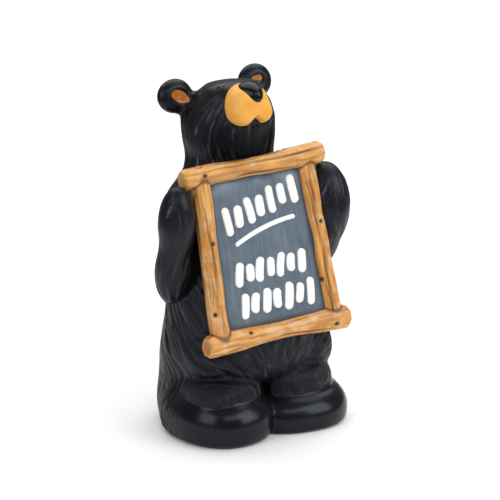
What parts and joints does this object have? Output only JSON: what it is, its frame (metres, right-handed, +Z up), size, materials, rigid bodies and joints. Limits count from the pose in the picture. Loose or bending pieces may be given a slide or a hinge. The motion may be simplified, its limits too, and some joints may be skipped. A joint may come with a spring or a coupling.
{
  "type": "bear figurine holding a sign",
  "caption": "Carved-style black bear that stands upright, looks up and holds a log-framed sign between its paws.",
  "frame": {"origin": "on the floor, under the middle of the whole figurine", "axes": "+Z up, -Y the way the bear faces, +X the bear's left"},
  "size_m": [0.1078, 0.0832, 0.1772],
  "materials": {
    "black_paint": "charcoal-black acrylic paint on cast resin, satin, glossier on the feet and nose",
    "log_paint": "golden tan paint with a brown wash in the grooves and knots",
    "slate_paint": "brushed blue-grey paint, darker at the edges",
    "muzzle_paint": "light orange-tan paint, satin",
    "ear_paint": "burnt orange paint",
    "white_paint": "raised bright white paint strokes"
  },
  "bodies": {
    "root": {"bear": "black_paint", "sign_frame": "log_paint", "sign_board": "slate_paint"}
  },
  "joints": []
}
